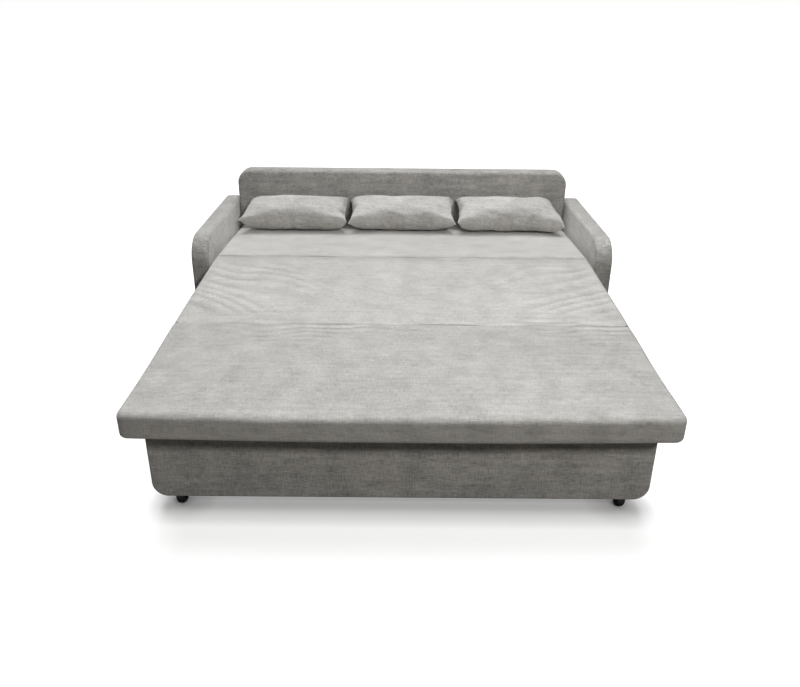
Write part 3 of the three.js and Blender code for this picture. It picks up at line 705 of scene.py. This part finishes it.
coat = powder_coat()
finish_nodes(
    coat, "seat_rail", "middle_rail", "rear_rail", "seat_fold", "middle_fold", "middle_apex",
    "rear_apex", "rear_lug", "support_leg", "leg_cross", "castor_fork", "back_bracket",
)

# The hinge rods and pins: bright drawn steel, turned to size, with fine lines round them.

bright = bpy.data.materials.new("drawn_steel")
bright.use_nodes = True
tree = bright.node_tree
shader = tree.nodes["Principled BSDF"]
place = tree.nodes.new("ShaderNodeTexCoord")
rings = tree.nodes.new("ShaderNodeMapping")
rings.inputs["Scale"].default_value = (1500, 40, 40)
link(tree, place.outputs["Object"], rings.inputs[0])
lines = tree.nodes.new("ShaderNodeTexNoise")
lines.inputs["Scale"].default_value = 1
lines.inputs["Detail"].default_value = 3
link(tree, rings.outputs[0], lines.inputs["Vector"])
bump = tree.nodes.new("ShaderNodeBump")
bump.inputs["Strength"].default_value = 0.15
bump.inputs["Distance"].default_value = 0.0002
link(tree, lines.outputs["Fac"], bump.inputs["Height"])
link(tree, bump.outputs[0], shader.inputs["Normal"])
shader.inputs["Base Color"].default_value = (0.42, 0.43, 0.45, 1)
shader.inputs["Metallic"].default_value = 1
shader.inputs["Roughness"].default_value = 0.34
finish_nodes(bright, "apex_rod", "back_hinge", "fold_pin")

# The plinth's boards, the castor rails and the slats: birch plywood and bent beech slats, sanded
# and left clear, with a long grain, darker late wood and small flecks.


def timber(name, dark, light, along):
    """Wood whose grain runs along one axis: stretched noise for the grain, finer flecks over it."""
    material = bpy.data.materials.new(name)
    material.use_nodes = True
    tree = material.node_tree
    shader = tree.nodes["Principled BSDF"]
    place = tree.nodes.new("ShaderNodeTexCoord")

    def grain(fine, slow, detail, warp):
        turn = tree.nodes.new("ShaderNodeMapping")
        scale = [fine, fine, fine]
        scale["xyz".index(along)] = slow
        turn.inputs["Scale"].default_value = scale
        link(tree, place.outputs["Object"], turn.inputs[0])
        noise = tree.nodes.new("ShaderNodeTexNoise")
        noise.inputs["Scale"].default_value = 1
        noise.inputs["Detail"].default_value = detail
        noise.inputs["Distortion"].default_value = warp
        link(tree, turn.outputs[0], noise.inputs["Vector"])
        return noise.outputs["Fac"]

    bands = grain(26, 1.6, 4, 0.9)
    flecks = grain(420, 14, 2, 0)
    both = tree.nodes.new("ShaderNodeMix")
    both.inputs[0].default_value = 0.35
    link(tree, bands, both.inputs[2])
    link(tree, flecks, both.inputs[3])
    ramp = tree.nodes.new("ShaderNodeValToRGB")
    ramp.color_ramp.elements[0].position = 0.32
    ramp.color_ramp.elements[0].color = (*dark, 1)
    ramp.color_ramp.elements[1].position = 0.68
    ramp.color_ramp.elements[1].color = (*light, 1)
    link(tree, both.outputs[0], ramp.inputs[0])
    link(tree, ramp.outputs[0], shader.inputs["Base Color"])
    bump = tree.nodes.new("ShaderNodeBump")
    bump.inputs["Strength"].default_value = 0.2
    bump.inputs["Distance"].default_value = 0.0005
    link(tree, flecks, bump.inputs["Height"])
    link(tree, bump.outputs[0], shader.inputs["Normal"])
    shader.inputs["Roughness"].default_value = 0.55
    return material


birch_dark, birch_light = (0.40, 0.26, 0.13), (0.62, 0.45, 0.27)
birch_across = timber("birch_across", birch_dark, birch_light, "x")
finish_nodes(birch_across, "fascia_board", "castor_rail")
birch_along = timber("birch_along", birch_dark, birch_light, "y")
finish_nodes(birch_along, "plinth_side", "arm_board", "back_board")
beech = timber("beech_slats", (0.46, 0.27, 0.13), (0.64, 0.42, 0.23), "x")
finish_nodes(beech, "seat_slat", "middle_slat", "rear_slat")

# The castor wheels and the feet: moulded black plastic with a fine spark-eroded texture.

plastic = bpy.data.materials.new("moulded_plastic")
plastic.use_nodes = True
tree = plastic.node_tree
shader = tree.nodes["Principled BSDF"]
place = tree.nodes.new("ShaderNodeTexCoord")
spark = tree.nodes.new("ShaderNodeTexNoise")
spark.inputs["Scale"].default_value = 1400
spark.inputs["Detail"].default_value = 2
link(tree, place.outputs["Object"], spark.inputs["Vector"])
scuff = tree.nodes.new("ShaderNodeTexNoise")
scuff.inputs["Scale"].default_value = 60
scuff.inputs["Detail"].default_value = 4
link(tree, place.outputs["Object"], scuff.inputs["Vector"])
ramp = tree.nodes.new("ShaderNodeValToRGB")
ramp.color_ramp.elements[0].position = 0.4
ramp.color_ramp.elements[0].color = (0.010, 0.010, 0.011, 1)
ramp.color_ramp.elements[1].position = 0.8
ramp.color_ramp.elements[1].color = (0.035, 0.035, 0.036, 1)
link(tree, scuff.outputs["Fac"], ramp.inputs[0])
link(tree, ramp.outputs[0], shader.inputs["Base Color"])
bump = tree.nodes.new("ShaderNodeBump")
bump.inputs["Strength"].default_value = 0.2
bump.inputs["Distance"].default_value = 0.0003
link(tree, spark.outputs["Fac"], bump.inputs["Height"])
link(tree, bump.outputs[0], shader.inputs["Normal"])
shader.inputs["Roughness"].default_value = 0.5
finish_nodes(plastic, "castor_wheel", "foot_")

# The floor, the light and the camera. The floor is plain and pale, and white to the camera where
# nothing shades it; near the sofa its camera-only glow is dimmed by ambient occlusion, a painted
# contact shadow. Broad light falls from above and a little behind. A small softbox stands in
# front on the right, and a weak one hangs over the rear of the bed.

mesh = bpy.data.meshes.new("floor")
mesh.from_pydata([(-60, -60, 0), (60, -60, 0), (60, 60, 0), (-60, 60, 0)], [], [(0, 1, 2, 3)])
floor = bpy.data.objects.new("floor", mesh)
scene.collection.objects.link(floor)
pale = bpy.data.materials.new("pale_floor")
pale.use_nodes = True
tree = pale.node_tree
shader = tree.nodes["Principled BSDF"]
shader.inputs["Base Color"].default_value = (0.1, 0.095, 0.086, 1)
shader.inputs["Roughness"].default_value = 0.9
shader.inputs["Specular IOR Level"].default_value = 0.1
matt = tree.nodes.new("ShaderNodeBsdfDiffuse")
matt.inputs["Color"].default_value = (0.5, 0.5, 0.5, 1)
glow = tree.nodes.new("ShaderNodeEmission")
glow.inputs["Color"].default_value = (1, 1, 1, 1)
place = tree.nodes.new("ShaderNodeTexCoord")
far = tree.nodes.new("ShaderNodeVectorMath")
far.operation = "LENGTH"
link(tree, place.outputs["Object"], far.inputs[0])
paler = tree.nodes.new("ShaderNodeMapRange")
paler.inputs["From Min"].default_value = 1.6
paler.inputs["From Max"].default_value = 3.2
paler.inputs["To Min"].default_value = 0.74
paler.inputs["To Max"].default_value = 1.0
link(tree, far.outputs["Value"], paler.inputs["Value"])
# Painted contact shadow: ambient occlusion dims the floor's camera-only glow close to the sofa.
near = tree.nodes.new("ShaderNodeAmbientOcclusion")
near.inputs["Distance"].default_value = 0.1
deep = tree.nodes.new("ShaderNodeMath")
deep.operation = "POWER"
deep.inputs[1].default_value = 2.0
link(tree, near.outputs["AO"], deep.inputs[0])
painted_contact_shadow = tree.nodes.new("ShaderNodeMath")
painted_contact_shadow.operation = "MULTIPLY"
link(tree, deep.outputs[0], painted_contact_shadow.inputs[0])
link(tree, paler.outputs[0], painted_contact_shadow.inputs[1])
link(tree, painted_contact_shadow.outputs[0], glow.inputs["Strength"])
both = tree.nodes.new("ShaderNodeAddShader")
seen = tree.nodes.new("ShaderNodeLightPath")
pick = tree.nodes.new("ShaderNodeMixShader")
link(tree, matt.outputs[0], both.inputs[0])
link(tree, glow.outputs[0], both.inputs[1])
link(tree, seen.outputs["Is Camera Ray"], pick.inputs[0])
link(tree, shader.outputs[0], pick.inputs[1])
link(tree, both.outputs[0], pick.inputs[2])
link(tree, pick.outputs[0], tree.nodes["Material Output"].inputs[0])
floor.data.materials.append(pale)

world = bpy.data.worlds.new("studio")
scene.world = world
world.use_nodes = True
tree = world.node_tree
ambient = tree.nodes["Background"]
ambient.inputs["Color"].default_value = (1.0, 0.985, 0.955, 1)
ambient.inputs["Strength"].default_value = 0.045
white = tree.nodes.new("ShaderNodeBackground")
white.inputs["Color"].default_value = (1, 1, 1, 1)
white.inputs["Strength"].default_value = 1.0
seen = tree.nodes.new("ShaderNodeLightPath")
either = tree.nodes.new("ShaderNodeMath")
either.operation = "MAXIMUM"
pick = tree.nodes.new("ShaderNodeMixShader")
link(tree, seen.outputs["Is Camera Ray"], either.inputs[0])
link(tree, seen.outputs["Is Glossy Ray"], either.inputs[1])
link(tree, either.outputs[0], pick.inputs[0])
link(tree, ambient.outputs[0], pick.inputs[1])
link(tree, white.outputs[0], pick.inputs[2])
link(tree, pick.outputs[0], tree.nodes["World Output"].inputs[0])


def softbox(name, power, size, place, target, colour):
    """A square area light of that many watts, size metres wide, that faces the target."""
    panel = bpy.data.lights.new(name, "AREA")
    panel.energy = power
    panel.size = size
    panel.color = colour
    lamp = bpy.data.objects.new(name, panel)
    aim = (Vector(target) - Vector(place)).to_track_quat("-Z", "Y").to_matrix().to_4x4()
    lamp.matrix_world = Matrix.Translation(place) @ aim
    scene.collection.objects.link(lamp)


softbox("front", 54, 0.4, (1.3, -3.6, 2.65), (0, -0.6, 0.3), (1.0, 0.98, 0.95))
softbox("rear", 9.5, 0.6, (0.35, -0.2, 2.3), (0.1, 0.9, 0.5), (0.985, 0.99, 1.0))

ceiling = bpy.data.lights.new("overhead", "SUN")
ceiling.energy = 2.95
ceiling.angle = math.radians(40)
ceiling.color = (0.975, 0.988, 1.0)
lamp = bpy.data.objects.new("overhead", ceiling)
falling = Vector((0.05, -math.sin(math.radians(19)), -1))
lamp.matrix_world = falling.to_track_quat("-Z", "Y").to_matrix().to_4x4()
scene.collection.objects.link(lamp)

camera = bpy.data.cameras.new("camera")
camera.lens = 33.75
camera.sensor_width = 36
viewpoint = bpy.data.objects.new("camera", camera)
scene.collection.objects.link(viewpoint)
pitch, roll, yaw = math.radians(25.2022), math.radians(0.5323), math.radians(0.1183)
ahead = Vector((math.sin(yaw) * math.cos(pitch), math.cos(yaw) * math.cos(pitch), -math.sin(pitch)))
right = Vector((math.cos(yaw), -math.sin(yaw), 0))
up = right.cross(ahead)
right, up = (
    right * math.cos(roll) + up * math.sin(roll),
    up * math.cos(roll) - right * math.sin(roll),
)
spot = Vector((-0.0113, front_y - 1.7974, 1.5141))
viewpoint.matrix_world = Matrix(
    [(right[k], up[k], -ahead[k], spot[k]) for k in range(3)] + [(0, 0, 0, 1)]
)
scene.camera = viewpoint
scene.view_settings.view_transform = "Standard"
